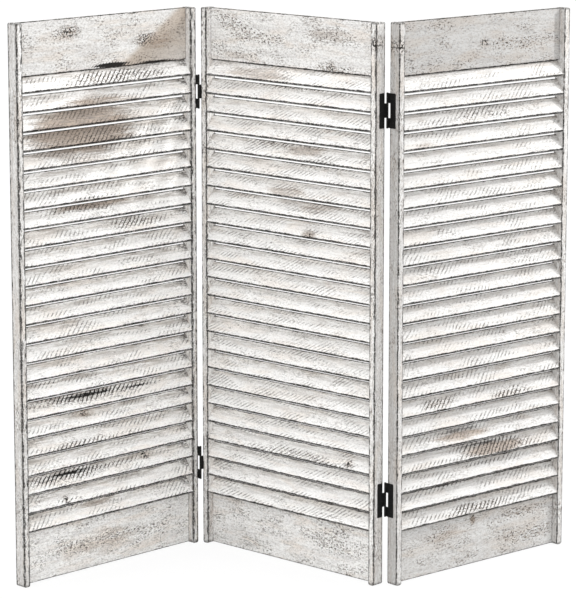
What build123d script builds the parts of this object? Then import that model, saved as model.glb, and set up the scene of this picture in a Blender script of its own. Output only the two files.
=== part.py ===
from build123d import *
import os
from math import cos, radians, sin

os.makedirs("parts", exist_ok=True)

# A low folding screen of three louvred panels. Millimetres, +Z up, +X to the right, front to -Y.
# Each panel has its own axes: X along its width, Y from its front face to its back, Z up.

# Panels and how they stand
PANEL_WIDTH = 380.0
PANEL_HEIGHT = 900.0
PANEL_DEPTH = 21.0
MIDDLE_PANEL_HEADING = -41.5
LEFT_PANEL_TURN = 88.0
RIGHT_PANEL_TURN = 84.0

# Stiles, the upright bars at both ends of a panel
STILE_FACE = 11.5
STILE_TOP_ROUNDING = 2.5
STILE_FOOT_ROUNDING = 3.5
STILE_ARRIS = 0.8

# Rails, the thin boards across the top and the bottom
TOP_RAIL_HEIGHT = 85.0
BOTTOM_RAIL_HEIGHT = 93.5
BOTTOM_RAIL_LIFT = 1.5
RAIL_THICKNESS = 6.0
RAIL_SETBACK = 11.4
RAIL_ARRIS = 0.8
RAIL_CORNER_ROUNDING = 3.5

# Stub tenons on the rails and their blind mortises in the stiles
TENON_LENGTH = 7.0
TENON_THICKNESS = 4.0
TENON_SHOULDER = 8.0
TENON_FIT = 0.05

# Louvre slats, the same number in every panel, front edge low
SLAT_COUNT = 24
SLATS_IN_GROUP = 4
SLAT_WIDTH = 28.8
SLAT_THICKNESS = 5.0
SLAT_TILT = 54.0
SLAT_ARRIS = 0.8
SLAT_TOP_CLEARANCE = 0.3
SLAT_BOTTOM_LAP = 5.5

# Angled housings in the stiles that hold the slat ends
HOUSING_DEPTH = 4.0
HOUSING_FIT = 0.05
SLAT_END_CLEARANCE = 0.2

# Butt hinges: two on each fold, screwed to the outer edges of the stiles
HINGE_HEIGHT = 55.0
HINGE_END_DISTANCE = 138.0
HINGE_AXIS_OUT = 1.9
HINGE_AXIS_PROUD = 3.9
LEAF_THICKNESS = 0.9
LEAF_REACH = 13.0
LEAF_NOTCH = 5.5
LEAF_CORNER_ROUNDING = 1.5
KNUCKLE_RADIUS = 1.75
MIDDLE_KNUCKLE_HEIGHT = 22.7
KNUCKLE_GAP = 0.3
PIN_RADIUS = 0.85
PIN_FIT = 0.05
PIN_HEAD_RADIUS = 1.4
PIN_HEAD_HEIGHT = 0.6

# Countersunk hinge screws, three in each leaf
SCREWS_PER_LEAF = 3
SCREW_SPACING = 19.0
SCREW_LINE = 11.5
SCREW_HEAD_RADIUS = 2.1
SCREW_SHANK_RADIUS = 1.1
SCREW_SHANK_LENGTH = 3.6
SCREW_TIP_LENGTH = 1.4
SCREW_TIP_RADIUS = 0.25
SCREW_FIT = 0.05
SCREW_HOLE_EXTRA = 0.2
SCREW_SLOT_WIDTH = 0.5
SCREW_SLOT_DEPTH = 0.4

# Heights that follow from the sizes above
TOP_RAIL_UNDERSIDE = PANEL_HEIGHT - TOP_RAIL_HEIGHT
BOTTOM_RAIL_TOP = BOTTOM_RAIL_LIFT + BOTTOM_RAIL_HEIGHT
RAIL_SPAN = PANEL_WIDTH - 2 * STILE_FACE
RAIL_MIDDLE_DEPTH = RAIL_SETBACK + RAIL_THICKNESS / 2

# A slat is placed by the middle of its cross-section
SLAT_RUN = SLAT_WIDTH * cos(radians(SLAT_TILT))
SLAT_RISE = SLAT_WIDTH * sin(radians(SLAT_TILT))
SLAT_DROP = SLAT_THICKNESS * cos(radians(SLAT_TILT))
FIRST_SLAT_MIDDLE = TOP_RAIL_UNDERSIDE - SLAT_TOP_CLEARANCE - (SLAT_RISE + SLAT_DROP) / 2
LAST_SLAT_MIDDLE = BOTTOM_RAIL_TOP - SLAT_BOTTOM_LAP + (SLAT_RISE - SLAT_DROP) / 2
SLAT_PITCH = (FIRST_SLAT_MIDDLE - LAST_SLAT_MIDDLE) / (SLAT_COUNT - 1)
SLAT_LENGTH = RAIL_SPAN + 2 * (HOUSING_DEPTH - SLAT_END_CLEARANCE)
SLAT_MIDDLES = [
    (PANEL_DEPTH / 2, FIRST_SLAT_MIDDLE - index * SLAT_PITCH)
    for index in range(SLAT_COUNT)
]
LOUVRE_GROUPS = [
    SLAT_MIDDLES[start:start + SLATS_IN_GROUP]
    for start in range(0, SLAT_COUNT, SLATS_IN_GROUP)
]

HINGE_MIDDLES = {
    "upper": PANEL_HEIGHT - HINGE_END_DISTANCE,
    "lower": HINGE_END_DISTANCE,
}


def turned_plane(heading, held_point, stand_point):
    """Panel axes at a heading, with one point of the panel held at a point of the room."""
    turned = Plane(
        origin=(0, 0, 0),
        x_dir=(cos(radians(heading)), sin(radians(heading)), 0),
        z_dir=(0, 0, 1),
    )
    origin = stand_point - turned.from_local_coords(held_point)
    return Plane(origin=origin, x_dir=turned.x_dir, z_dir=turned.z_dir)


def moved_plane(plane, shift):
    """The same axes, moved by a room vector."""
    return Plane(origin=plane.origin + shift, x_dir=plane.x_dir, z_dir=plane.z_dir)


# The left fold's axis stands before the middle panel, the right fold's axis behind it
LEFT_AXIS_ON_MIDDLE = Vector(-HINGE_AXIS_OUT, -HINGE_AXIS_PROUD, 0)
LEFT_AXIS_ON_LEFT = Vector(PANEL_WIDTH + HINGE_AXIS_OUT, -HINGE_AXIS_PROUD, 0)
RIGHT_AXIS_ON_MIDDLE = Vector(PANEL_WIDTH + HINGE_AXIS_OUT, PANEL_DEPTH + HINGE_AXIS_PROUD, 0)
RIGHT_AXIS_ON_RIGHT = Vector(-HINGE_AXIS_OUT, PANEL_DEPTH + HINGE_AXIS_PROUD, 0)

middle_axes = turned_plane(MIDDLE_PANEL_HEADING, Vector(0, 0, 0), Vector(0, 0, 0))
left_axes = turned_plane(
    MIDDLE_PANEL_HEADING + LEFT_PANEL_TURN,
    LEFT_AXIS_ON_LEFT,
    middle_axes.from_local_coords(LEFT_AXIS_ON_MIDDLE),
)
right_axes = turned_plane(
    MIDDLE_PANEL_HEADING + RIGHT_PANEL_TURN,
    RIGHT_AXIS_ON_RIGHT,
    middle_axes.from_local_coords(RIGHT_AXIS_ON_MIDDLE),
)

# The standing screen is centred on the origin; the rounded arrises set its outermost points
corner_middles = [
    axes.from_local_coords(Vector(across, depth, 0))
    for axes in (left_axes, middle_axes, right_axes)
    for across in (STILE_ARRIS, PANEL_WIDTH - STILE_ARRIS)
    for depth in (STILE_ARRIS, PANEL_DEPTH - STILE_ARRIS)
]
centre_x = (min(c.X for c in corner_middles) + max(c.X for c in corner_middles)) / 2
centre_y = (min(c.Y for c in corner_middles) + max(c.Y for c in corner_middles)) / 2
TO_CENTRE = Vector(-centre_x, -centre_y, 0)

PANELS = {
    "left": moved_plane(left_axes, TO_CENTRE),
    "middle": moved_plane(middle_axes, TO_CENTRE),
    "right": moved_plane(right_axes, TO_CENTRE),
}


def direction(axes, across, depth):
    """A room direction from its parts along a panel's width and depth."""
    return axes.x_dir * across + axes.y_dir * depth


def face_plane(axes, across, depth, height):
    """A plane lying like the panel's front face, seen from the front."""
    origin = axes.from_local_coords(Vector(across, depth, height))
    return Plane(origin=origin, x_dir=axes.x_dir, z_dir=direction(axes, 0, -1))


def section_plane(axes, across):
    """A plane across the panel: depth runs along it, height runs up it."""
    origin = axes.from_local_coords(Vector(across, 0, 0))
    return Plane(origin=origin, x_dir=axes.y_dir, z_dir=axes.x_dir)


# Every hinge leaf is laid out on a plane through the hinge axis: X away from the stile's
# outer edge, Y from the axis onto that edge, the same for a leaf on either end of a panel
LEAF_MOUNTS = {
    ("left", "middle"): (PANELS["middle"], LEFT_AXIS_ON_MIDDLE, -1, 1),
    ("left", "side"): (PANELS["left"], LEFT_AXIS_ON_LEFT, 1, 1),
    ("right", "middle"): (PANELS["middle"], RIGHT_AXIS_ON_MIDDLE, 1, -1),
    ("right", "side"): (PANELS["right"], RIGHT_AXIS_ON_RIGHT, -1, -1),
}


def leaf_plane(fold, owner, height):
    """The layout plane of one leaf, at the middle of the hinge's height."""
    axes, axis_point, outward, onward = LEAF_MOUNTS[(fold, owner)]
    origin = axes.from_local_coords(axis_point + Vector(0, 0, height))
    return Plane(
        origin=origin,
        x_dir=direction(axes, outward, 0),
        z_dir=(0, 0, outward * onward),
    )


def screw_planes(fold, owner, height):
    """Planes on the outer face of a leaf, one at each screw, facing out."""
    leaf = leaf_plane(fold, owner, height)
    steps = [index - (SCREWS_PER_LEAF - 1) / 2 for index in range(SCREWS_PER_LEAF)]
    return [
        Plane(
            origin=leaf.from_local_coords(
                Vector(LEAF_THICKNESS - HINGE_AXIS_OUT, SCREW_LINE, step * SCREW_SPACING)
            ),
            x_dir=leaf.y_dir,
            z_dir=leaf.x_dir,
        )
        for step in steps
    ]


def stile_screw_planes(panel, end):
    """The planes of all the hinge screws that enter one stile."""
    leaves = {
        ("left", "right_stile"): ("left", "side"),
        ("middle", "left_stile"): ("left", "middle"),
        ("middle", "right_stile"): ("right", "middle"),
        ("right", "left_stile"): ("right", "side"),
    }
    if (panel, end) not in leaves:
        return []
    fold, owner = leaves[(panel, end)]
    return [
        plane
        for height in HINGE_MIDDLES.values()
        for plane in screw_planes(fold, owner, height)
    ]


# Stiles
MORTISE_THICKNESS = TENON_THICKNESS + 2 * TENON_FIT
MORTISE_DEPTH = TENON_LENGTH + TENON_FIT
TOP_TENON_HEIGHT = TOP_RAIL_HEIGHT - 2 * TENON_SHOULDER
BOTTOM_TENON_HEIGHT = BOTTOM_RAIL_HEIGHT - 2 * TENON_SHOULDER
TOP_TENON_MIDDLE = TOP_RAIL_UNDERSIDE + TOP_RAIL_HEIGHT / 2
BOTTOM_TENON_MIDDLE = BOTTOM_RAIL_LIFT + BOTTOM_RAIL_HEIGHT / 2
PILOT_RADIUS = SCREW_SHANK_RADIUS + SCREW_FIT
PILOT_DEPTH = LEAF_THICKNESS + SCREW_SHANK_LENGTH + SCREW_TIP_LENGTH + SCREW_HOLE_EXTRA

STILE_ENDS = {
    "left_stile": (0, STILE_FACE - HOUSING_DEPTH, STILE_FACE - MORTISE_DEPTH),
    "right_stile": (
        PANEL_WIDTH - STILE_FACE,
        PANEL_WIDTH - STILE_FACE,
        PANEL_WIDTH - STILE_FACE,
    ),
}

for panel, axes in PANELS.items():
    through = Axis((0, 0, 0), direction(axes, 0, 1))
    for end, (start, housing_start, mortise_start) in STILE_ENDS.items():
        with BuildPart() as stile:
            with BuildSketch(face_plane(axes, start + STILE_FACE / 2, 0, PANEL_HEIGHT / 2)) as outline:
                Rectangle(STILE_FACE, PANEL_HEIGHT)
                fillet(outline.vertices().sort_by(Axis.Y)[:2], radius=STILE_FOOT_ROUNDING)
                fillet(outline.vertices().sort_by(Axis.Y)[-2:], radius=STILE_TOP_ROUNDING)
            extrude(amount=-PANEL_DEPTH)
            front_and_back = stile.faces().sort_by(through)
            fillet(front_and_back[0].edges() + front_and_back[-1].edges(), radius=STILE_ARRIS)
            # One angled housing for each slat, open to the side that faces the louvres
            with BuildSketch(section_plane(axes, housing_start)):
                with Locations(*SLAT_MIDDLES):
                    Rectangle(
                        SLAT_WIDTH + 2 * HOUSING_FIT,
                        SLAT_THICKNESS + 2 * HOUSING_FIT,
                        rotation=SLAT_TILT,
                    )
            extrude(amount=HOUSING_DEPTH, mode=Mode.SUBTRACT)
            # Blind mortises for the two rails
            with BuildSketch(section_plane(axes, mortise_start)):
                with Locations((RAIL_MIDDLE_DEPTH, TOP_TENON_MIDDLE)):
                    Rectangle(MORTISE_THICKNESS, TOP_TENON_HEIGHT + 2 * TENON_FIT)
                with Locations((RAIL_MIDDLE_DEPTH, BOTTOM_TENON_MIDDLE)):
                    Rectangle(MORTISE_THICKNESS, BOTTOM_TENON_HEIGHT + 2 * TENON_FIT)
            extrude(amount=MORTISE_DEPTH, mode=Mode.SUBTRACT)
            # Screw holes under the hinge leaves
            for plane in stile_screw_planes(panel, end):
                with Locations(plane):
                    Cylinder(
                        PILOT_RADIUS,
                        PILOT_DEPTH,
                        align=(Align.CENTER, Align.CENTER, Align.MAX),
                        mode=Mode.SUBTRACT,
                    )
        stile.part.label = f"{panel}_panel_{end}"
        export_step(stile.part, f"parts/{panel}_panel_{end}.step")


# Rails
RAILS = {
    "top_rail": (TOP_RAIL_HEIGHT, TOP_TENON_MIDDLE, TOP_TENON_HEIGHT),
    "bottom_rail": (BOTTOM_RAIL_HEIGHT, BOTTOM_TENON_MIDDLE, BOTTOM_TENON_HEIGHT),
}

for panel, axes in PANELS.items():
    along = Axis((0, 0, 0), direction(axes, 1, 0))
    for name, (height, middle_height, tenon_height) in RAILS.items():
        with BuildPart() as rail:
            with BuildSketch(
                face_plane(axes, PANEL_WIDTH / 2, RAIL_SETBACK, middle_height)
            ) as outline:
                Rectangle(RAIL_SPAN, height)
                if name == "top_rail":
                    fillet(outline.vertices().sort_by(Axis.Y)[:2], radius=RAIL_CORNER_ROUNDING)
            extrude(amount=-RAIL_THICKNESS)
            fillet(rail.edges().filter_by(along), radius=RAIL_ARRIS)
            with BuildSketch(
                face_plane(
                    axes, PANEL_WIDTH / 2, RAIL_MIDDLE_DEPTH - TENON_THICKNESS / 2, middle_height
                )
            ):
                Rectangle(RAIL_SPAN + 2 * TENON_LENGTH, tenon_height)
            extrude(amount=-TENON_THICKNESS)
        rail.part.label = f"{panel}_panel_{name}"
        export_step(rail.part, f"parts/{panel}_panel_{name}.step")


# Louvre slats, in groups from the top of the panel down
for panel, axes in PANELS.items():
    for number, group in enumerate(LOUVRE_GROUPS, start=1):
        with BuildPart() as louvres:
            with BuildSketch(section_plane(axes, (PANEL_WIDTH - SLAT_LENGTH) / 2)):
                with Locations(*group):
                    RectangleRounded(SLAT_WIDTH, SLAT_THICKNESS, SLAT_ARRIS, rotation=SLAT_TILT)
            extrude(amount=SLAT_LENGTH)
        louvres.part.label = f"{panel}_panel_louvres_{number}"
        export_step(louvres.part, f"parts/{panel}_panel_louvres_{number}.step")


# Hinges
SIDE_KNUCKLE_START = MIDDLE_KNUCKLE_HEIGHT / 2 + KNUCKLE_GAP
SIDE_KNUCKLE_HEIGHT = HINGE_HEIGHT / 2 - SIDE_KNUCKLE_START
LEAF_SPANS = {
    "middle": [(-MIDDLE_KNUCKLE_HEIGHT / 2, MIDDLE_KNUCKLE_HEIGHT)],
    "side": [
        (-HINGE_HEIGHT / 2, SIDE_KNUCKLE_HEIGHT),
        (SIDE_KNUCKLE_START, SIDE_KNUCKLE_HEIGHT),
    ],
}
LEAF_END = HINGE_AXIS_PROUD + LEAF_REACH
PIN_HOLE_RADIUS = PIN_RADIUS + PIN_FIT

for fold, owner in LEAF_MOUNTS:
    for level, height in HINGE_MIDDLES.items():
        layout = leaf_plane(fold, owner, height)
        edge_plane = Plane(
            origin=layout.from_local_coords(Vector(-HINGE_AXIS_OUT, 0, 0)),
            x_dir=layout.y_dir,
            z_dir=layout.x_dir,
        )
        with BuildPart() as leaf:
            with BuildSketch(edge_plane) as flat:
                with Locations(((LEAF_NOTCH + LEAF_END) / 2, 0)):
                    Rectangle(LEAF_END - LEAF_NOTCH, HINGE_HEIGHT)
                fillet(flat.vertices().sort_by(Axis.X)[-2:], radius=LEAF_CORNER_ROUNDING)
            extrude(amount=LEAF_THICKNESS)
            # Knuckles, each with its neck back to the flat
            for low, knuckle_height in LEAF_SPANS[owner]:
                with BuildSketch(layout.offset(low)):
                    Circle(KNUCKLE_RADIUS)
                    with Locations((LEAF_THICKNESS / 2 - HINGE_AXIS_OUT, LEAF_NOTCH / 2)):
                        Rectangle(LEAF_THICKNESS, LEAF_NOTCH)
                extrude(amount=knuckle_height)
            with BuildSketch(layout.offset(-HINGE_HEIGHT / 2)):
                Circle(PIN_HOLE_RADIUS)
            extrude(amount=HINGE_HEIGHT, mode=Mode.SUBTRACT)
            for plane in screw_planes(fold, owner, height):
                with Locations(plane):
                    Cone(
                        SCREW_SHANK_RADIUS + SCREW_FIT,
                        SCREW_HEAD_RADIUS + SCREW_FIT,
                        LEAF_THICKNESS,
                        align=(Align.CENTER, Align.CENTER, Align.MAX),
                        mode=Mode.SUBTRACT,
                    )
        leaf.part.label = f"{fold}_{level}_hinge_{owner}_leaf"
        export_step(leaf.part, f"parts/{fold}_{level}_hinge_{owner}_leaf.step")

        with BuildPart() as screws:
            for plane in screw_planes(fold, owner, height):
                with Locations(plane):
                    Cone(
                        SCREW_SHANK_RADIUS,
                        SCREW_HEAD_RADIUS,
                        LEAF_THICKNESS,
                        align=(Align.CENTER, Align.CENTER, Align.MAX),
                    )
                with Locations(plane.offset(-LEAF_THICKNESS)):
                    Cylinder(
                        SCREW_SHANK_RADIUS,
                        SCREW_SHANK_LENGTH,
                        align=(Align.CENTER, Align.CENTER, Align.MAX),
                    )
                with Locations(plane.offset(-LEAF_THICKNESS - SCREW_SHANK_LENGTH)):
                    Cone(
                        SCREW_TIP_RADIUS,
                        SCREW_SHANK_RADIUS,
                        SCREW_TIP_LENGTH,
                        align=(Align.CENTER, Align.CENTER, Align.MAX),
                    )
                with Locations(plane):
                    Box(
                        2 * SCREW_HEAD_RADIUS,
                        SCREW_SLOT_WIDTH,
                        SCREW_SLOT_DEPTH,
                        align=(Align.CENTER, Align.CENTER, Align.MAX),
                        mode=Mode.SUBTRACT,
                    )
        screws.part.label = f"{fold}_{level}_hinge_{owner}_screws"
        export_step(screws.part, f"parts/{fold}_{level}_hinge_{owner}_screws.step")

for fold in ("left", "right"):
    for level, height in HINGE_MIDDLES.items():
        layout = leaf_plane(fold, "side", height)
        with BuildPart() as pin:
            with BuildSketch(layout.offset(-HINGE_HEIGHT / 2)):
                Circle(PIN_RADIUS)
            extrude(amount=HINGE_HEIGHT)
            for low in (-HINGE_HEIGHT / 2 - PIN_HEAD_HEIGHT, HINGE_HEIGHT / 2):
                with BuildSketch(layout.offset(low)):
                    Circle(PIN_HEAD_RADIUS)
                extrude(amount=PIN_HEAD_HEIGHT)
        pin.part.label = f"{fold}_{level}_hinge_pin"
        export_step(pin.part, f"parts/{fold}_{level}_hinge_pin.step")
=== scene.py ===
import math
import bpy
from mathutils import Matrix, Vector

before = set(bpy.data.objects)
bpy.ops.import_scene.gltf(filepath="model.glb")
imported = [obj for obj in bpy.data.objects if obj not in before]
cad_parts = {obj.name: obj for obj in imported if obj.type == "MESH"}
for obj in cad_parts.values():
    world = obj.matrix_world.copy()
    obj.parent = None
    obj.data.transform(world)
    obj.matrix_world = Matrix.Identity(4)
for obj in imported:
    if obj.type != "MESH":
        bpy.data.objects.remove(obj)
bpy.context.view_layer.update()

# Sizes of the screen in millimetres, as the solids have them
PANEL_WIDTH, PANEL_DEPTH, PANEL_HEIGHT = 380.0, 21.0, 900.0
STILE_FACE = 11.5
RAIL_SETBACK, RAIL_THICKNESS = 11.4, 6.0
TOP_RAIL_UNDERSIDE, BOTTOM_RAIL_TOP = 815.0, 95.0
SLAT_TILT = math.radians(54.0)
SLAT_WIDTH, SLAT_THICKNESS = 28.8, 5.0
FIRST_SLAT_MIDDLE = 801.58
SLAT_PITCH = 30.516
HEADINGS = {"left": 46.5, "middle": -41.5, "right": 42.5}


def panel_corner(panel):
    """The front left lower corner of a panel, in metres, from its own stile's mesh."""
    heading = math.radians(HEADINGS[panel])
    along = Vector((math.cos(heading), math.sin(heading), 0))
    back = Vector((-math.sin(heading), math.cos(heading), 0))
    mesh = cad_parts[f"{panel}_panel_left_stile"].data
    across = min(v.co.dot(along) for v in mesh.vertices)
    front = min(v.co.dot(back) for v in mesh.vertices)
    return along * across + back * front


class Net:
    """Builds one material out of nodes, with sums written as calls."""

    def __init__(self, name):
        self.material = bpy.data.materials.new(name)
        self.material.use_nodes = True
        self.tree = self.material.node_tree
        self.tree.nodes.clear()
        self.shader = self.tree.nodes.new("ShaderNodeBsdfPrincipled")
        out = self.tree.nodes.new("ShaderNodeOutputMaterial")
        self.tree.links.new(self.shader.outputs[0], out.inputs[0])

    def feed(self, socket, value):
        if isinstance(value, bpy.types.NodeSocket):
            self.tree.links.new(value, socket)
        else:
            socket.default_value = value

    def math(self, kind, a, b=0.0, clamp=False):
        node = self.tree.nodes.new("ShaderNodeMath")
        node.operation, node.use_clamp = kind, clamp
        self.feed(node.inputs[0], a)
        self.feed(node.inputs[1], b)
        return node.outputs[0]

    def add(self, a, b):
        return self.math("ADD", a, b)

    def sub(self, a, b):
        return self.math("SUBTRACT", a, b)

    def mul(self, a, b):
        return self.math("MULTIPLY", a, b)

    def least(self, a, b):
        return self.math("MINIMUM", a, b)

    def most(self, a, b):
        return self.math("MAXIMUM", a, b)

    def clamp(self, a):
        return self.math("ADD", a, 0.0, True)

    def step(self, value, low, high, to_low=0.0, to_high=1.0):
        """A smooth change from to_low to to_high as value goes from low to high."""
        node = self.tree.nodes.new("ShaderNodeMapRange")
        node.interpolation_type = "SMOOTHSTEP"
        for socket, number in zip(node.inputs, (value, low, high, to_low, to_high)):
            self.feed(socket, number)
        return node.outputs[0]

    def mix(self, share, a, b):
        node = self.tree.nodes.new("ShaderNodeMix")
        node.data_type = "RGBA"
        self.feed(node.inputs[0], share)
        for socket, colour in ((node.inputs[6], a), (node.inputs[7], b)):
            self.feed(socket, (*colour, 1.0) if isinstance(colour, tuple) else colour)
        return node.outputs[2]

    def vec(self, x=0.0, y=0.0, z=0.0):
        node = self.tree.nodes.new("ShaderNodeCombineXYZ")
        for socket, number in zip(node.inputs, (x, y, z)):
            self.feed(socket, number)
        return node.outputs[0]

    def noise(self, vector, detail=3.0, rough=0.55, bend=0.0):
        node = self.tree.nodes.new("ShaderNodeTexNoise")
        self.feed(node.inputs["Vector"], vector)
        node.inputs["Scale"].default_value = 1.0
        node.inputs["Detail"].default_value = detail
        node.inputs["Roughness"].default_value = rough
        node.inputs["Distortion"].default_value = bend
        return node.outputs[0]

    def random(self, number):
        node = self.tree.nodes.new("ShaderNodeTexWhiteNoise")
        node.noise_dimensions = "1D"
        self.feed(node.inputs["W"], number)
        return node.outputs[0]

    def place(self, panel):
        """A point of the panel in millimetres: along its width, from its front, up."""
        corner = panel_corner(panel)
        turn = math.radians(-HEADINGS[panel])
        at = Matrix.Rotation(turn, 3, "Z") @ (corner * -1000.0)
        coords = self.tree.nodes.new("ShaderNodeTexCoord")
        mapping = self.tree.nodes.new("ShaderNodeMapping")
        mapping.inputs["Location"].default_value = at
        mapping.inputs["Rotation"].default_value = (0, 0, turn)
        mapping.inputs["Scale"].default_value = (1000, 1000, 1000)
        self.tree.links.new(coords.outputs["Object"], mapping.inputs[0])
        split = self.tree.nodes.new("ShaderNodeSeparateXYZ")
        self.tree.links.new(mapping.outputs[0], split.inputs[0])
        return split.outputs[0], split.outputs[1], split.outputs[2]

    def blob(self, x, y, spot, soft=1.0):
        """1 inside an ellipse, fading to 0 at its rim; spot is (x, y, half width, half height)."""
        dx = self.mul(self.sub(x, spot[0]), 1.0 / spot[2])
        dy = self.mul(self.sub(y, spot[1]), 1.0 / spot[3])
        away = self.math("SQRT", self.add(self.mul(dx, dx), self.mul(dy, dy)))
        return self.step(away, 1.0 - soft, 1.0, 1.0, 0.0)


def corner_line(net, p, q, width):
    """1 on the line where two faces meet, from the distances p and q to both faces."""
    away = net.math("SQRT", net.add(net.mul(p, p), net.mul(q, q)))
    return net.step(away, net.mul(width, 0.65), width, 1.0, 0.0)


# Colours, as the surface itself; some also paint shade and shadow where they are used
PAINT_LIGHT = (0.93, 0.925, 0.91)
PAINT_GREY = (0.74, 0.735, 0.73)
PAINT_WARM = (0.84, 0.77, 0.70)
WOOD_LIGHT = (0.44, 0.32, 0.225)
WOOD_DARK = (0.17, 0.12, 0.085)
# Tan of the painted shadow, with some real staining, on the left panel's upper rail
SHADOW_AND_STAIN_TAN = (0.42, 0.34, 0.265)
# Grey-brown of smears, fibres and grit, also used for the painted shade under the slats
SMEAR_AND_SHADE = (0.36, 0.315, 0.275)
FLECK = (0.075, 0.063, 0.054)
# Near-black of dirt in knots and arrises, also used for painted shade on the slats' front edges and
# right corners
DIRT_AND_SHADE = (0.014, 0.012, 0.010)
# Near-black of char and of painted shade
CHAR_AND_SHADE = (0.008, 0.007, 0.006)

# Places on the panels where the finish differs, in millimetres:
# along, up, half width, half height, strength
BARE = {
    "left": [
        (137, 722, 165, 64, 1.05),
        (170, 765, 120, 14, 0.6),
        (165, 601, 135, 13, 1.0),
        # This place on the left upper rail's right end is partly bare wood, partly painted shadow
        (312, 850, 50, 22, 0.45),
        (189, 42, 150, 26, 0.35),
        (160, 108, 75, 10, 0.5),
        (139, 262, 40, 12, 0.5),
        (260, 420, 60, 12, 0.35),
        (90, 480, 70, 12, 0.3),
    ],
    "middle": [
        (120, 800, 110, 15, 0.7),
        (273, 872, 75, 18, 0.5),
        (66, 826, 45, 8, 0.55),
        (221, 684, 70, 14, 0.75),
        (255, 600, 65, 20, 0.7),
        (185, 615, 75, 13, 0.6),
        (236, 550, 26, 12, 0.75),
        (150, 400, 60, 9, 0.25),
    ],
    "right": [
        (75, 570, 50, 16, 0.3),
        (225, 190, 100, 13, 1.0),
        (150, 222, 95, 10, 0.8),
        (181, 74, 10, 14, 0.7),
        (110, 60, 90, 24, 0.35),
        (240, 320, 60, 7, 0.4),
        (60, 700, 40, 14, 0.3),
    ],
}
# Dark streaks: char, together with painted shade under the upper rail and below the slats' front edges
CHARRED_AND_SHADED = {
    "left": [
        (205, 819, 62, 6.5, 1.7),
        (300, 817, 75, 3.5, 1.2),
        (150, 290, 130, 6, 1.05),
        (255, 288, 95, 5, 0.8),
        (110, 167, 115, 6, 1.05),
        (60, 163, 60, 7, 0.7),
        (150, 612, 110, 4, 0.6),
        (110, 700, 60, 3, 0.5),
        (60, 322, 60, 6, 0.6),
        (100, 347, 70, 4, 0.5),
        (95, 126, 60, 4, 0.6),
        (250, 805, 80, 8, 0.5),
    ],
    "middle": [
        (322, 187, 26, 6, 0.9),
        (110, 462, 60, 3, 0.45),
        (330, 655, 40, 4, 0.5),
        (200, 238, 110, 3, 0.45),
        (270, 620, 70, 3, 0.4),
    ],
    "right": [
        (200, 200, 115, 5.5, 0.95),
        (110, 186, 75, 4.5, 0.6),
        (200, 167, 90, 4, 0.7),
        (150, 230, 110, 5.5, 0.85),
        (110, 143, 105, 5.5, 0.9),
        (90, 770, 60, 3, 0.4),
    ],
}
KNOTS = {
    "left": [
        (278, 855, 15, 10),
        (116, 878, 15, 9),
        (139, 262, 7, 6),
        (270, 170, 9, 7),
        (94, 126, 5, 5),
        (268, 390, 6, 5),
    ],
    "middle": [(376, 868, 5, 9), (236, 549, 7, 6), (277, 822, 5, 7), (322, 189, 7, 5), (160, 727, 5, 4)],
    "right": [(196, 854, 8, 7), (4, 863, 5, 11), (181, 78, 4, 7), (300, 300, 6, 4)],
}
# Heavier clusters of pits and strokes
ROUGH = {
    "left": [
        (210, 800, 160, 14, 1.0),
        (116, 878, 40, 14, 0.8),
        (278, 855, 40, 14, 0.8),
        (250, 560, 120, 12, 0.7),
        (150, 290, 190, 16, 1.0),
        (120, 165, 160, 14, 0.9),
        (140, 600, 160, 14, 0.6),
        (150, 215, 150, 10, 0.6),
        (150, 45, 150, 12, 0.6),
        (200, 700, 150, 20, 0.6),
    ],
    "middle": [
        (53, 878, 34, 20, 1.0),
        (120, 860, 90, 16, 0.5),
        (290, 818, 70, 10, 0.7),
        (200, 785, 150, 10, 0.7),
        (250, 665, 120, 10, 0.8),
        (230, 185, 140, 12, 0.6),
        (290, 50, 80, 30, 0.5),
        (150, 690, 130, 8, 0.4),
    ],
    "right": [
        (200, 740, 150, 14, 0.5),
        (94, 284, 60, 10, 1.0),
        (258, 279, 70, 10, 1.0),
        (182, 98, 100, 10, 1.0),
        (290, 68, 50, 14, 0.9),
        (225, 190, 120, 18, 0.8),
        (300, 30, 80, 22, 0.7),
        (270, 850, 90, 16, 0.5),
    ],
}


def strongest(net, along, up, spots, soft=1.0):
    """The highest of a list of faded ellipses."""
    total = 0.0
    for spot in spots:
        total = net.most(total, net.mul(net.blob(along, up, spot, soft), spot[4]))
    return total


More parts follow.
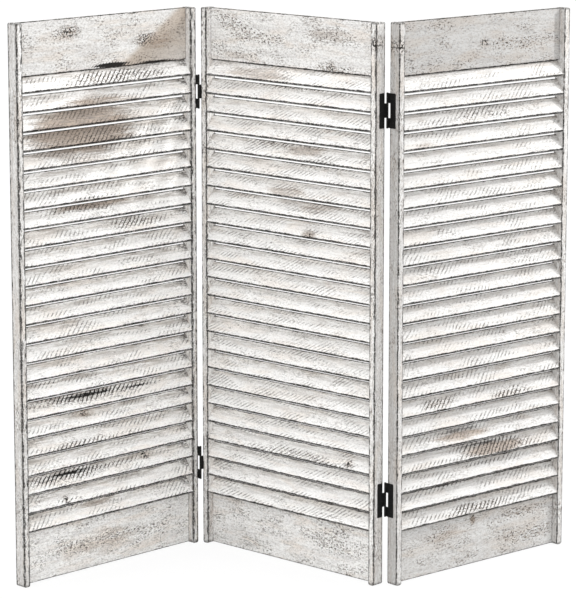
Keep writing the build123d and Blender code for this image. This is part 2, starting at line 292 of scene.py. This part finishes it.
def finish(net, panel, kind, long, cross, deep, seed, along, up, lines, missed_and_shaded, tone_and_shade_level, shadow_and_stain=0.0):
    """Worn whitewash over sawn wood. long, cross and deep run with the board, across it and into it.

    along and up place the finish's local marks; lines is the share of rubbed arris, on the slats
    together with painted shade on the front edge and at the right stile, and hidden the share of the
    surface that the brush hardly reached, on the slats together with painted shade under the next slat."""
    marks = MARKS[kind]

    def field(x_size, y_size, shift, detail=2.0, rough=0.55, bend=0.0):
        across = net.mul(cross, 1 / y_size)
        inward = net.add(net.mul(deep, 1 / y_size), net.add(seed, shift))
        vector = net.vec(net.mul(long, 1 / x_size), across, inward)
        return net.noise(vector, detail, rough, bend)

    clouds = field(90, 20, 0.0, 3.0, 0.6, 0.5)
    smears = field(55, 5, 7.3, 3.0, 0.65, 0.4)
    grain = field(24, 1.6, 1.7, 3.0, 0.7)
    fine = field(3.2, 1.9, 2.9, 2.0, 0.6)
    dash = field(7.0, 2.0, 4.1, 2.0, 0.6)
    grit = field(3.0, 2.3, 6.6, 1.0, 0.5)
    pit = field(4.2, 2.7, 8.8, 1.0, 0.5)
    rough = strongest(net, along, up, ROUGH[panel])

    paint = net.mix(net.mul(net.step(smears, 0.40, 0.70), marks["grey"]), PAINT_LIGHT, PAINT_GREY)
    paint = net.mix(net.mul(net.step(clouds, 0.45, 0.70), marks["warm"]), paint, PAINT_WARM)
    # The paint's level per panel and part, partly painted shade and light, then the left upper rail's
    # painted shadow
    paint = net.mix(shadow_and_stain, scaled(net, paint, tone_and_shade_level), SHADOW_AND_STAIN_TAN)
    wood = net.mix(net.step(grain, 0.35, 0.65), WOOD_LIGHT, WOOD_DARK)

    # Thin paint over bare wood
    bare = net.mul(strongest(net, along, up, BARE[panel], 0.8), 1.3)
    frayed = net.add(net.mul(net.sub(grain, 0.5), 0.7), net.mul(net.sub(smears, 0.5), 1.2))
    ragged = net.add(bare, frayed)
    ragged = net.add(ragged, net.mul(net.sub(fine, 0.5), 0.7))
    share = marks["bare"] * BARENESS[panel]
    colour = net.mix(net.mul(net.step(ragged, 0.15, 0.95), share), paint, wood)

    # Where the brush hardly reached, and on the slats painted shade under the next slat, streaked along
    # the grain
    streaks = net.mul(missed_and_shaded, net.step(net.add(smears, net.mul(net.sub(grain, 0.5), 0.5)), 0.36, 0.66))
    colour = net.mix(net.mul(streaks, marks["smear"]), colour, SMEAR_AND_SHADE)

    # Fibres and short dashes that took less paint
    fibres = net.mul(net.step(grain, 0.54, 0.74), net.step(clouds, 0.30, 0.62, 0.15, 0.55))
    colour = net.mix(net.mul(fibres, marks["fibres"]), colour, SMEAR_AND_SHADE)
    patch = net.step(net.add(field(45, 22, 9.7), net.mul(rough, 0.35)), 0.42, 0.72, 0.25, 1.0)
    dashes = net.mul(net.mul(net.step(dash, 0.54, 0.66), patch), marks["dashes"])
    colour = net.mix(dashes, colour, FLECK)
    speckled = net.add(net.add(net.mul(patch, 0.5), rough), net.mul(bare, 0.3))
    pits = net.mul(net.mul(net.step(pit, 0.58, 0.64), speckled), marks["pits"])
    colour = net.mix(net.clamp(pits), colour, FLECK)
    gritty = net.mul(net.add(speckled, 0.35), marks["grit"])
    colour = net.mix(net.mul(net.step(grit, 0.48, 0.60), gritty), colour, SMEAR_AND_SHADE)

    # Slanting saw strokes
    wobble = field(60, 40, 5.2)
    across_stroke = net.add(net.mul(long, marks["lean"][0]), net.mul(cross, marks["lean"][1]))
    phase = net.add(net.mul(across_stroke, 2 * math.pi / marks["pitch"]), net.mul(wobble, 12.0))
    stroke = net.step(net.math("SINE", phase), 0.1, 0.9)
    marked = net.add(net.mul(rough, 0.22), net.mul(bare, 0.07))
    area = net.step(net.add(field(75, 12, 3.1), marked), 0.46, 0.66)
    strokes = net.mul(net.mul(stroke, area), net.mul(net.step(fine, 0.30, 0.58), marks["strokes"]))
    colour = net.mix(net.clamp(net.mul(strokes, net.add(0.6, rough))), colour, FLECK)

    # Charred streaks together with painted shade, broken by the strokes: the streaks under the upper
    # rail and along the shadow lines below the slats' front edges stand in for shade
    burnt_and_shaded = strongest(net, along, up, CHARRED_AND_SHADED[panel])
    broken = net.add(net.mul(net.sub(grain, 0.5), 1.3), net.mul(net.sub(stroke, 0.5), 0.35))
    burnt_and_shaded = net.add(burnt_and_shaded, broken)
    burnt_and_shaded = net.step(burnt_and_shaded, 0.38, 0.78, 0.0, 0.99 if panel == "left" else 0.72)
    colour = net.mix(burnt_and_shaded, colour, CHAR_AND_SHADE)

    # Knots
    specks = net.noise(net.vec(net.mul(long, 0.27), net.mul(cross, 0.30), seed), 1.0)
    specks = net.step(specks, 0.50, 0.56)
    for spot in KNOTS[panel]:
        ring = net.blob(along, up, (spot[0], spot[1], spot[2] * 2.0, spot[3] * 2.0), 0.8)
        core = net.blob(along, up, (spot[0], spot[1], spot[2], spot[3]), 0.8)
        colour = net.mix(net.mul(ring, net.step(grain, 0.3, 0.7, 0.05, 0.3)), colour, WOOD_LIGHT)
        colour = net.mix(net.mul(ring, net.mul(specks, 0.9)), colour, DIRT_AND_SHADE)
        colour = net.mix(net.mul(core, specks), colour, DIRT_AND_SHADE)

    # Arrises rubbed through to dark wood; on the slats the same dark colour also paints shade on the
    # narrow front edge and in the corners at the right stile
    edge = net.clamp(net.mul(lines, net.step(fine, 0.36, 0.50, 0.6, 1.0)))
    colour = net.mix(edge, colour, DIRT_AND_SHADE)

    net.feed(net.shader.inputs["Base Color"], colour)
    net.feed(net.shader.inputs["Roughness"], net.step(smears, 0.3, 0.7, 0.66, 0.86))
    net.shader.inputs["Specular IOR Level"].default_value = 0.2
    sunk = net.add(net.clamp(strokes), net.add(dashes, pits))
    height = net.sub(net.mul(grain, 0.6), net.mul(sunk, 0.6))
    height = net.sub(height, net.mul(edge, 0.4))
    bump = net.tree.nodes.new("ShaderNodeBump")
    bump.inputs["Strength"].default_value = 0.55
    bump.inputs["Distance"].default_value = 0.0005
    net.feed(bump.inputs["Height"], height)
    net.feed(net.shader.inputs["Normal"], bump.outputs[0])


MARKS = {
    "stile": {
        "warm": 0.7,
        "grey": 0.7,
        "bare": 0.6,
        "smear": 0.35,
        "fibres": 0.5,
        "dashes": 1.0,
        "pits": 1.5,
        "grit": 0.6,
        "pitch": 5.0,
        "lean": (0.65, -0.76),
        "strokes": 0.1,
    },
    "rail": {
        "warm": 0.7,
        "grey": 0.6,
        "bare": 0.75,
        "smear": 0.25,
        "fibres": 0.6,
        "dashes": 0.9,
        "pits": 1.9,
        "grit": 0.5,
        "pitch": 4.2,
        "lean": (0.65, -0.76),
        "strokes": 0.15,
    },
    "louvre": {
        "warm": 0.5,
        "grey": 0.5,
        "bare": 0.8,
        "smear": 0.85,
        "fibres": 0.45,
        "dashes": 0.55,
        "pits": 0.7,
        "grit": 0.28,
        "pitch": 6.0,
        "lean": (0.65, -0.76),
        "strokes": 1.25,
    },
}
# How light each panel's stiles, rails and slats are, against the base colour: partly the paint's own
# tone, partly painted shade and light that the lamp does not give; the right panel's rails are painted
# about half as light as the base.
TONE_AND_SHADE = {
    "left": {"stile": 0.95, "top_rail": 0.80, "bottom_rail": 1.06, "louvre": 1.06},
    "middle": {"stile": 1.0, "top_rail": 0.93, "bottom_rail": 1.04, "louvre": 1.06},
    "right": {"stile": 0.76, "top_rail": 0.53, "bottom_rail": 0.69, "louvre": 0.81},
}
# How far the wood shows through in the bare places of each panel
BARENESS = {"left": 0.95, "middle": 0.65, "right": 0.85}
PANEL_SEEDS = {"left": 2.0, "middle": 12.0, "right": 22.0}


def patchy_width(net, vector, thin, thick, low=0.35, high=0.75):
    """A line width that swells and shrinks along the board, in millimetres."""
    return net.step(net.noise(vector, 4.0, 0.7), low, high, thin, thick)


def stile_material(panel):
    net = Net(f"{panel}_stile")
    x, y, z = net.place(panel)
    right = net.math("GREATER_THAN", x, PANEL_WIDTH / 2)
    across = net.sub(x, net.mul(right, PANEL_WIDTH - STILE_FACE))
    seed = net.add(net.mul(right, 31.0), PANEL_SEEDS[panel])
    p = net.least(across, net.sub(STILE_FACE, across))
    q = net.least(y, net.sub(PANEL_DEPTH, y))
    worn = net.vec(net.mul(z, 1 / 16), net.mul(across, 0.35), net.add(seed, y))
    width = patchy_width(net, worn, STILE_WEAR[panel] * 0.15, STILE_WEAR[panel])
    lines = net.mul(corner_line(net, p, q, width), 0.95)
    ends = net.most(net.step(z, 1.0, 6.0, 1.0, 0.0), net.step(z, PANEL_HEIGHT - 4.0, PANEL_HEIGHT - 1.0))
    chips = net.noise(net.vec(net.mul(across, 0.4), net.mul(y, 0.4), seed), 2.0)
    ends = net.mul(ends, net.step(chips, 0.35, 0.6, 0.3, 0.9))
    lines = net.most(lines, ends)
    cross = net.add(across, net.mul(y, 1.15))
    from_right = net.mul(net.sub(STILE_FACE, across), right)
    outer = net.add(net.mul(across, net.sub(1.0, right)), from_right)
    tone_and_shade_level = net.mul(net.step(outer, 0.1, 0.6, 0.84, 1.0), TONE_AND_SHADE[panel]["stile"])
    finish(net, panel, "stile", z, cross, 0.0, seed, x, z, lines, 0.5, tone_and_shade_level)
    return net.material


STILE_WEAR = {"left": 7.4, "middle": 5.4, "right": 4.2}


def rail_material(panel):
    net = Net(f"{panel}_rail")
    x, y, z = net.place(panel)
    top = net.math("GREATER_THAN", z, PANEL_HEIGHT / 2)
    seed = net.add(net.mul(top, 13.0), PANEL_SEEDS[panel] + 4.0)
    low = net.add(1.5, net.mul(top, TOP_RAIL_UNDERSIDE - 1.5))
    high = net.add(BOTTOM_RAIL_TOP, net.mul(top, PANEL_HEIGHT - BOTTOM_RAIL_TOP))
    p = net.least(net.sub(z, low), net.sub(high, z))
    q = net.least(net.sub(y, RAIL_SETBACK), net.sub(RAIL_SETBACK + RAIL_THICKNESS, y))
    width = patchy_width(net, net.vec(net.mul(x, 1 / 18), seed, 0.0), 0.9, 2.6)
    lines = corner_line(net, p, q, width)
    sides = net.least(net.sub(x, STILE_FACE), net.sub(PANEL_WIDTH - STILE_FACE, x))
    joint = patchy_width(net, net.vec(net.mul(z, 1 / 14), seed, 3.0), 0.2, 2.4)
    lines = net.most(lines, net.mul(net.step(sides, net.mul(joint, 0.5), joint, 1.0, 0.0), 0.8))
    tones = TONE_AND_SHADE[panel]
    tone_and_shade_level = net.add(tones["bottom_rail"], net.mul(top, tones["top_rail"] - tones["bottom_rail"]))
    shadow_and_stain = 0.0
    if panel == "left":
        # The upper rail is darker below a slanting line, towards its right end: a painted shadow of the
        # middle panel's top edge, together with some real staining
        below = net.sub(net.mul(net.sub(x, 225), 0.55), net.mul(net.sub(z, 818), 0.835))
        shadow_and_stain = net.mul(net.step(below, -5, 8), net.mul(net.step(below, 10, 75, 0.75, 0.4), top))
    finish(net, panel, "rail", x, z, y, seed, x, z, lines, 0.25, tone_and_shade_level, shadow_and_stain)
    return net.material


def louvre_material(panel):
    net = Net(f"{panel}_louvre")
    x, y, z = net.place(panel)
    first_top = FIRST_SLAT_MIDDLE + SLAT_PITCH / 2
    number = net.math("FLOOR", net.mul(net.sub(first_top, z), 1 / SLAT_PITCH))
    middle = net.sub(FIRST_SLAT_MIDDLE, net.mul(number, SLAT_PITCH))
    dy, dz = net.sub(y, PANEL_DEPTH / 2), net.sub(z, middle)
    wide = net.add(net.mul(dy, math.cos(SLAT_TILT)), net.mul(dz, math.sin(SLAT_TILT)))
    thick = net.sub(net.mul(dy, math.sin(SLAT_TILT)), net.mul(dz, math.cos(SLAT_TILT)))
    seed = net.add(net.mul(number, 17.0), net.mul(net.random(net.add(number, PANEL_SEEDS[panel])), 9.0))
    p = net.sub(SLAT_WIDTH / 2, net.math("ABSOLUTE", wide))
    q = net.sub(SLAT_THICKNESS / 2, net.math("ABSOLUTE", thick))
    width = patchy_width(net, net.vec(net.mul(x, 1 / 14), net.mul(wide, 0.1), seed), 1.3, 3.0)
    lines = corner_line(net, p, q, width)
    # The narrow front edge faces down and is darkened all over: painted shade together with worn paint
    nose_shade_and_wear = net.step(net.add(wide, SLAT_WIDTH / 2), 0.15, 0.9, 1.0, 0.0)
    rubbed = net.vec(net.mul(x, 1 / 25), net.mul(thick, 0.3), seed)
    nose_shade_and_wear = net.mul(nose_shade_and_wear, patchy_width(net, rubbed, 0.4, 1.0, 0.28, 0.62))
    lines = net.most(lines, nose_shade_and_wear)
    # Dark tufts at the right end, in the corner with the right stile: painted shade of the stile
    # together with dirt where the brush turned
    shade_and_dirt_tuft = net.mul(net.step(net.add(x, net.mul(wide, 1.2)), 352.0, 372.0), net.step(wide, -4.0, 4.0))
    tuft_patches = net.noise(net.vec(net.mul(x, 0.16), net.mul(wide, 0.5), seed), 2.0)
    shade_and_dirt_tuft = net.mul(shade_and_dirt_tuft, net.step(tuft_patches, 0.38, 0.56))
    lines = net.most(lines, net.mul(shade_and_dirt_tuft, TUFT_SHADE_AND_DIRT[panel]))
    # Darker upper part, under the next slat, and corners at the stiles: where the brush missed, together
    # with painted shade of the slat above and of the stiles
    to_stile = net.least(net.sub(x, STILE_FACE), net.sub(PANEL_WIDTH - STILE_FACE, x))
    tuck = net.step(net.add(wide, net.sub(12.0, to_stile)), 2.0, 16.0)
    upper = net.step(wide, -6.0, 13.0)
    missed_and_shaded = net.most(net.mul(upper, SLAT_MISS_AND_SHADE[panel]), net.mul(tuck, 0.75))
    finish(net, panel, "louvre", x, wide, thick, seed, x, z, lines, missed_and_shaded, TONE_AND_SHADE[panel]["louvre"])
    return net.material


# How much darker the upper part of each slat is on each panel: missed paint together with painted shade
SLAT_MISS_AND_SHADE = {"left": 0.9, "middle": 0.5, "right": 0.45}
# How strong the painted shade and dirt in the slats' right corners is on each panel
TUFT_SHADE_AND_DIRT = {"left": 0.8, "middle": 0.3, "right": 0.25}


def metal_material(name, colour):
    net = Net(name)
    coords = net.tree.nodes.new("ShaderNodeTexCoord")
    grit = net.noise(scaled(net, coords.outputs["Object"], 900.0), 3.0, 0.6)
    worn = net.noise(scaled(net, coords.outputs["Object"], 140.0), 4.0, 0.65)
    tone = net.mix(net.step(worn, 0.55, 0.75, 0.0, 0.5), colour, (0.03, 0.028, 0.026))
    net.feed(net.shader.inputs["Base Color"], tone)
    net.feed(net.shader.inputs["Roughness"], net.step(grit, 0.3, 0.7, 0.5, 0.72))
    net.shader.inputs["Metallic"].default_value = 0.0
    net.shader.inputs["Specular IOR Level"].default_value = 0.25
    bump = net.tree.nodes.new("ShaderNodeBump")
    bump.inputs["Strength"].default_value = 0.25
    bump.inputs["Distance"].default_value = 0.0002
    net.feed(bump.inputs["Height"], grit)
    net.feed(net.shader.inputs["Normal"], bump.outputs[0])
    return net.material


def scaled(net, vector, factor):
    node = net.tree.nodes.new("ShaderNodeVectorMath")
    node.operation = "SCALE"
    net.feed(node.inputs[0], vector)
    net.feed(node.inputs["Scale"], factor)
    return node.outputs[0]


materials = {}
for panel in HEADINGS:
    stile = stile_material(panel)
    rail = rail_material(panel)
    louvre = louvre_material(panel)
    for place in ("left_stile", "right_stile"):
        materials[f"{panel}_panel_{place}"] = stile
    for place in ("top_rail", "bottom_rail"):
        materials[f"{panel}_panel_{place}"] = rail
    for number in range(1, 7):
        materials[f"{panel}_panel_louvres_{number}"] = louvre
hinge_metal = metal_material("hinge_black", (0.006, 0.006, 0.006))
screw_metal = metal_material("screw_black", (0.009, 0.009, 0.009))
for name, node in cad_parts.items():
    if name in materials:
        chosen = materials[name]
    elif name.endswith("screws") or name.endswith("pin"):
        chosen = screw_metal
    else:
        chosen = hinge_metal
    for slot in node.material_slots:
        slot.material = chosen

# Floor, light and camera, in metres, watts, millimetres of lens and radians
KEY_WATTS, KEY_RADIUS = 42.0, 0.05
KEY_PLACE = (1.50, 0.18, 1.47)
# The fill grows from its lower strength to its upper one as the sky rises
FILL_FROM, FILL_UP_TO = -0.1, 0.9
FILL_BELOW, FILL_ABOVE = 0.80, 1.82
CAMERA_LENS, CAMERA_SHIFT = 177.85, -0.1
CAMERA_PLACE = (0.0996, -4.6781, 1.3565)
CAMERA_DIP, CAMERA_TURN = 0.1730, 0.0240
floor_mesh = bpy.data.meshes.new("floor")
REACH = 30.0
FLOOR_LIT = (0.62, 0.62, 0.62)
FLOOR_SEEN = (0.95, 0.95, 0.95)
corners = [(-REACH, -REACH, 0), (REACH, -REACH, 0), (REACH, REACH, 0), (-REACH, REACH, 0)]
floor_mesh.from_pydata(corners, [], [(0, 1, 2, 3)])
floor = bpy.data.objects.new("floor", floor_mesh)
bpy.context.scene.collection.objects.link(floor)
floor_net = Net("floor")
tree = floor_net.tree
floor_net.shader.inputs["Roughness"].default_value = 0.9
glow = tree.nodes.new("ShaderNodeEmission")
glow.inputs["Strength"].default_value = 1.0
path = tree.nodes.new("ShaderNodeLightPath")
mirrored = floor_net.most(path.outputs["Is Glossy Ray"], path.outputs["Is Transmission Ray"])
seen = floor_net.most(path.outputs["Is Camera Ray"], mirrored)
floor_colour = floor_net.mix(seen, FLOOR_LIT, FLOOR_SEEN)
floor_net.feed(floor_net.shader.inputs["Base Color"], floor_colour)
blend = tree.nodes.new("ShaderNodeMixShader")
floor_net.feed(blend.inputs[0], floor_net.mul(seen, 0.9))
tree.links.new(floor_net.shader.outputs[0], blend.inputs[1])
tree.links.new(glow.outputs[0], blend.inputs[2])
tree.links.new(blend.outputs[0], tree.nodes["Material Output"].inputs[0])
floor_mesh.materials.append(floor_net.material)

world = bpy.data.worlds.new("studio")
bpy.context.scene.world = world
world.use_nodes = True
wt = world.node_tree
wt.nodes.clear()
w_out = wt.nodes.new("ShaderNodeOutputWorld")
w_mix = wt.nodes.new("ShaderNodeMixShader")
w_path = wt.nodes.new("ShaderNodeLightPath")
w_any = wt.nodes.new("ShaderNodeMath")
w_any.operation = "MAXIMUM"
w_seen = wt.nodes.new("ShaderNodeMath")
w_seen.operation = "MAXIMUM"
w_fill = wt.nodes.new("ShaderNodeBackground")
w_white = wt.nodes.new("ShaderNodeBackground")
w_fill.inputs["Color"].default_value = (1.0, 1.0, 1.0, 1)
w_sky = wt.nodes.new("ShaderNodeTexCoord")
w_split = wt.nodes.new("ShaderNodeSeparateXYZ")
w_level = wt.nodes.new("ShaderNodeMapRange")
w_level.inputs["From Min"].default_value = FILL_FROM
w_level.inputs["From Max"].default_value = FILL_UP_TO
w_level.inputs["To Min"].default_value = FILL_BELOW
w_level.inputs["To Max"].default_value = FILL_ABOVE
wt.links.new(w_sky.outputs["Generated"], w_split.inputs[0])
wt.links.new(w_split.outputs[2], w_level.inputs[0])
wt.links.new(w_level.outputs[0], w_fill.inputs["Strength"])
w_white.inputs["Color"].default_value = (1, 1, 1, 1)
w_white.inputs["Strength"].default_value = 1.0
wt.links.new(w_path.outputs["Is Glossy Ray"], w_any.inputs[0])
wt.links.new(w_path.outputs["Is Transmission Ray"], w_any.inputs[1])
wt.links.new(w_path.outputs["Is Camera Ray"], w_seen.inputs[0])
wt.links.new(w_any.outputs[0], w_seen.inputs[1])
wt.links.new(w_seen.outputs[0], w_mix.inputs[0])
wt.links.new(w_fill.outputs[0], w_mix.inputs[1])
wt.links.new(w_white.outputs[0], w_mix.inputs[2])
wt.links.new(w_mix.outputs[0], w_out.inputs[0])

key = bpy.data.lights.new("key", "POINT")
key.energy = KEY_WATTS
key.shadow_soft_size = KEY_RADIUS
key_lamp = bpy.data.objects.new("key", key)
key_lamp.location = KEY_PLACE
bpy.context.scene.collection.objects.link(key_lamp)

camera = bpy.data.cameras.new("camera")
camera.sensor_width = 36.0
camera.lens = CAMERA_LENS
camera.shift_y = CAMERA_SHIFT
eye = bpy.data.objects.new("camera", camera)
eye.location = CAMERA_PLACE
eye.rotation_euler = (math.pi / 2 - CAMERA_DIP, 0.0, CAMERA_TURN)
camera.clip_start, camera.clip_end = 0.1, 100.0
bpy.context.scene.collection.objects.link(eye)
bpy.context.scene.camera = eye

bpy.context.scene.view_settings.view_transform = "Standard"
